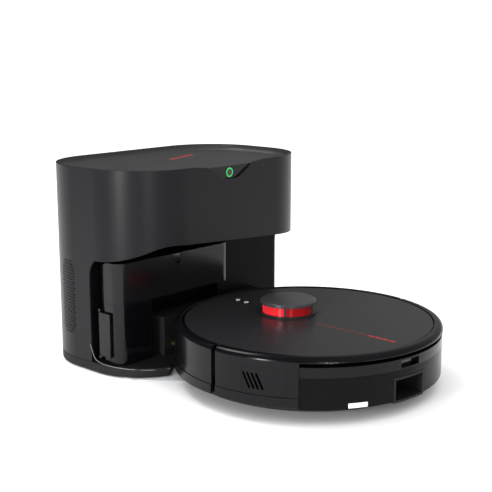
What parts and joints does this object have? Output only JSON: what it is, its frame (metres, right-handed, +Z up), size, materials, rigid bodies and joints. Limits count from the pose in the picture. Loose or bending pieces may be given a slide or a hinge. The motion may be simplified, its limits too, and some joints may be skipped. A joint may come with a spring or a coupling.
{
  "type": "robot vacuum with self-emptying dock",
  "caption": "Round lidar robot vacuum parked in its tall self-emptying dock, with drive wheels, brushes, bumper, pull-out rear tank module and removable cyclone dust cup.",
  "frame": {"origin": "on the floor, under the middle of the set's bounding box", "axes": "+Z up, +Y from the robot towards the dock's back, along the robot's own centre line"},
  "size_m": [0.38, 0.5322, 0.275],
  "materials": {
    "housing": "satin, near black",
    "gloss_black": "high gloss black",
    "soft_black": "matte black",
    "smoked": "smoked clear plastic",
    "clear": "clear plastic",
    "red_clear": "red clear plastic",
    "green_light": "lit light guide",
    "rubber": "black rubber",
    "tyre_rubber": "ribbed black rubber",
    "brush_rubber": "red rubber",
    "contact_metal": "plated contacts",
    "screw_steel": "zinc plated",
    "board": "circuit board",
    "filter_paper": "pleated filter",
    "white_plastic": "white translucent plastic",
    "grey_plastic": "grey moulding",
    "motor_metal": "cast can",
    "spring_steel": "spring wire"
  },
  "bodies": {
    "dock": {"dock_feet": "rubber", "dock_base": "soft_black", "floor_mat": "clear", "dock_shell": "housing", "dock_back_cover": "housing", "back_cover_screws": "screw_steel", "mains_inlet": "soft_black", "alcove_wall": "gloss_black", "top_cover": "housing", "control_panel": "gloss_black", "status_light_ring": "green_light", "docking_block": "soft_black", "charging_contacts": "contact_metal", "beacon_window": "gloss_black", "inlet_seal": "rubber", "suction_duct": "soft_black", "suction_motor": "motor_metal", "dock_circuit_boards": "board", "exhaust_filter": "filter_paper"},
    "status_button_body": {"status_button": "gloss_black"},
    "cup": {"dust_cup": "gloss_black", "separator_head": "smoked", "cyclone_insert": "grey_plastic"},
    "cup_latch_body": {"cup_latch": "gloss_black"},
    "cup_door": {"cup_end_door": "grey_plastic"},
    "robot": {"chassis_pan": "soft_black", "underside_wells": "soft_black", "suspension_springs": "spring_steel", "body_shell": "housing", "top_plate": "housing", "side_vent_grille": "soft_black", "brush_guard": "soft_black", "battery_pack": "grey_plastic", "robot_circuit_boards": "board", "robot_motors": "motor_metal", "cliff_sensors": "gloss_black"},
    "power_key": {"power_button": "gloss_black"},
    "home_key": {"home_button": "gloss_black"},
    "turret": {"lidar_cap": "gloss_black", "lidar_windows": "red_clear"},
    "rotor": {"lidar_rotor": "soft_black"},
    "bumper_body": {"bumper": "housing", "bumper_sensor_window": "gloss_black"},
    "rear_module": {"water_tank": "smoked", "dust_port": "soft_black", "dust_box": "housing", "bin_filter": "filter_paper", "tank_outlet": "white_plastic"},
    "bin_latch_body": {"bin_latch": "gloss_black"},
    "arm_left": {"drive_gearbox_left": "soft_black"},
    "arm_right": {"drive_gearbox_right": "soft_black"},
    "wheel_left": {"wheel_hub_left": "grey_plastic", "tyre_left": "tyre_rubber"},
    "wheel_right": {"wheel_hub_right": "grey_plastic", "tyre_right": "tyre_rubber"},
    "main_brush": {"brush_core": "grey_plastic", "brush_blades": "brush_rubber"},
    "side_brush_body": {"side_brush": "grey_plastic"},
    "caster_swivel": {"caster_fork": "soft_black"},
    "caster_roller": {"caster_wheel": "grey_plastic"}
  },
  "joints": [
    {"name": "status_press", "type": "slide", "parent": "dock", "child": "status_button_body", "axis": [-0.1132, 0.9936, 0], "range_m": [0, 0.0008], "stiffness_N_per_m": 300, "springref_m": -0.001},
    {"name": "cup_pull", "type": "slide", "parent": "dock", "child": "cup", "axis": [-0.9936, -0.1132, 0], "range_m": [0, 0.23]},
    {"name": "cup_latch_press", "type": "slide", "parent": "cup", "child": "cup_latch_body", "axis": [-0.1132, 0.9936, 0], "range_m": [0, 0.002], "stiffness_N_per_m": 300, "springref_m": -0.001},
    {"name": "cup_door_swing", "type": "hinge", "parent": "cup", "child": "cup_door", "pos_m": [-0.17691, 0.1064, 0.05], "axis": [0, 0, -1], "range_deg": [0, 95]},
    {"name": "robot_drive", "type": "slide", "parent": "dock", "child": "robot", "axis": [0, -1, 0], "range_m": [0, 0.3]},
    {"name": "power_press", "type": "slide", "parent": "robot", "child": "power_key", "axis": [0, 0, -1], "range_m": [0, 0.0008], "stiffness_N_per_m": 300, "springref_m": -0.001},
    {"name": "home_press", "type": "slide", "parent": "robot", "child": "home_key", "axis": [0, 0, -1], "range_m": [0, 0.0008], "stiffness_N_per_m": 300, "springref_m": -0.001},
    {"name": "turret_press", "type": "slide", "parent": "robot", "child": "turret", "axis": [0, 0, -1], "range_m": [0, 0.0012], "stiffness_N_per_m": 600, "springref_m": -0.002},
    {"name": "rotor_spin", "type": "hinge", "parent": "robot", "child": "rotor", "pos_m": [0.01505, -0.05364, 0.08], "axis": [0, 0, 1], "continuous": true},
    {"name": "bumper_press", "type": "slide", "parent": "robot", "child": "bumper_body", "axis": [0, -1, 0], "range_m": [0, 0.003], "stiffness_N_per_m": 400, "springref_m": -0.003},
    {"name": "module_pull", "type": "slide", "parent": "robot", "child": "rear_module", "axis": [0, -1, 0], "range_m": [0, 0.118]},
    {"name": "bin_latch_press", "type": "slide", "parent": "rear_module", "child": "bin_latch_body", "axis": [0, 1, 0], "range_m": [0, 0.003], "stiffness_N_per_m": 300, "springref_m": -0.001},
    {"name": "suspension_left", "type": "hinge", "parent": "robot", "child": "arm_left", "pos_m": [-0.07095, -0.03564, 0.04], "axis": [1, 0, 0], "range_deg": [0, 14], "stiffness_Nm_per_rad": 0.5, "springref_deg": 34.38},
    {"name": "wheel_spin_left", "type": "hinge", "parent": "arm_left", "child": "wheel_left", "pos_m": [-0.10095, -0.09164, 0.032], "axis": [1, 0, 0], "continuous": true},
    {"name": "suspension_right", "type": "hinge", "parent": "robot", "child": "arm_right", "pos_m": [0.10105, -0.03564, 0.04], "axis": [1, 0, 0], "range_deg": [0, 14], "stiffness_Nm_per_rad": 0.5, "springref_deg": 34.38},
    {"name": "wheel_spin_right", "type": "hinge", "parent": "arm_right", "child": "wheel_right", "pos_m": [0.13105, -0.09164, 0.032], "axis": [1, 0, 0], "continuous": true},
    {"name": "main_brush_spin", "type": "hinge", "parent": "robot", "child": "main_brush", "pos_m": [0.01505, -0.12964, 0.023], "axis": [1, 0, 0], "continuous": true},
    {"name": "side_brush_spin", "type": "hinge", "parent": "robot", "child": "side_brush_body", "pos_m": [0.11105, 0.00836, 0.005], "axis": [0, 0, 1], "continuous": true},
    {"name": "caster_turn", "type": "hinge", "parent": "robot", "child": "caster_swivel", "pos_m": [0.01505, 0.03636, 0.03], "axis": [0, 0, 1], "continuous": true},
    {"name": "caster_roll", "type": "hinge", "parent": "caster_swivel", "child": "caster_roller", "pos_m": [0.01505, 0.03236, 0.0148], "axis": [1, 0, 0], "continuous": true}
  ]
}
